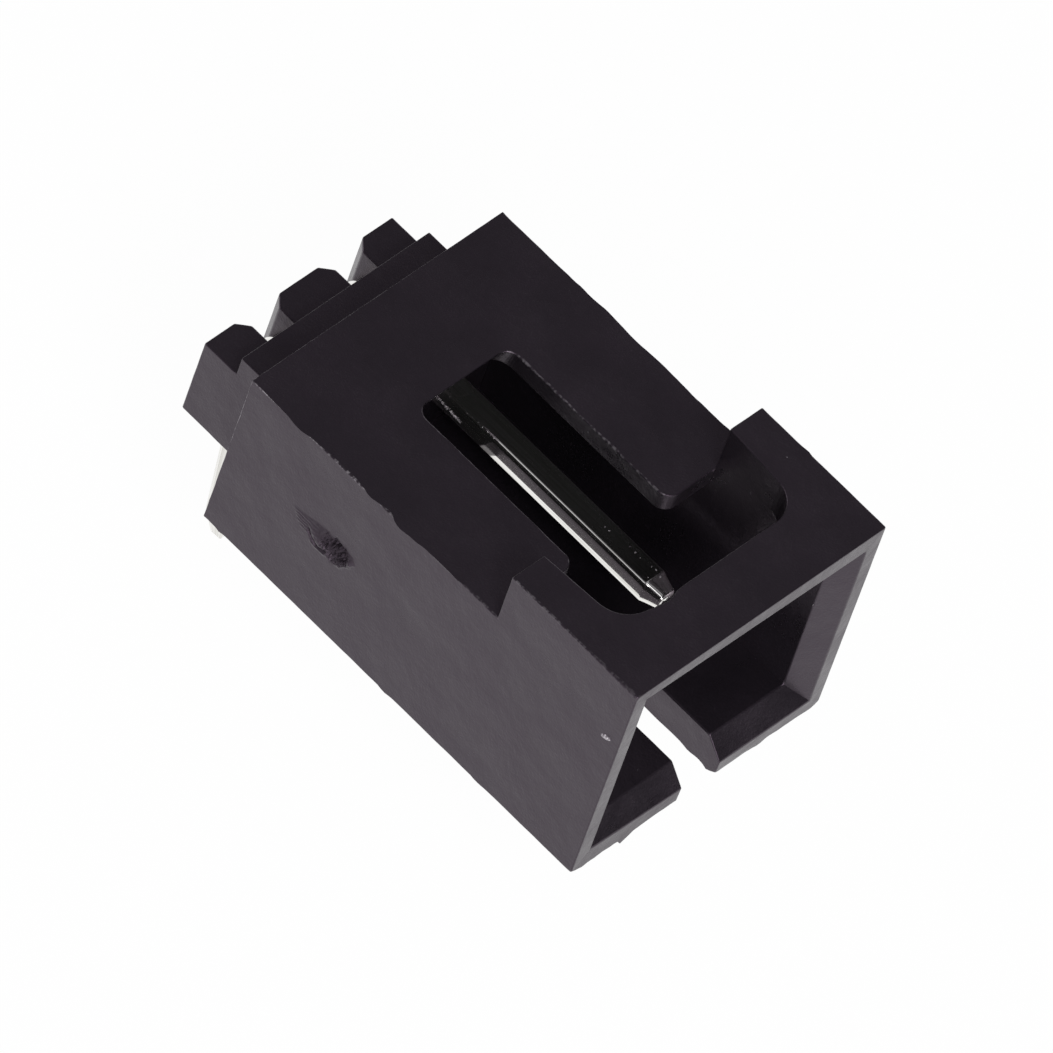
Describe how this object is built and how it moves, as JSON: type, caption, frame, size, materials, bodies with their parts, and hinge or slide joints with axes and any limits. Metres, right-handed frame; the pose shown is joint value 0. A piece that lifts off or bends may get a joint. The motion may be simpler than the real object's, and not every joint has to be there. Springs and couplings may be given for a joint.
{
  "type": "right-angle pin header",
  "caption": "Right-angle shrouded board header: black moulded socket with a latch window and key slot, holding bent square pins whose tails pass through a circuit board.",
  "frame": {"origin": "on the circuit board's surface, midway between the two tails", "axes": "+Z away from the board, -Y towards the plug that mates with it, +X across the row of pins"},
  "size_m": [0.0076, 0.0134, 0.0103],
  "materials": {
    "housing_nylon": "moulded, matte black, glass-filled",
    "tinned_wire": "bright tin over brass, drawn"
  },
  "bodies": {
    "root": {"housing": "housing_nylon", "left_pin": "tinned_wire", "right_pin": "tinned_wire"}
  },
  "joints": []
}
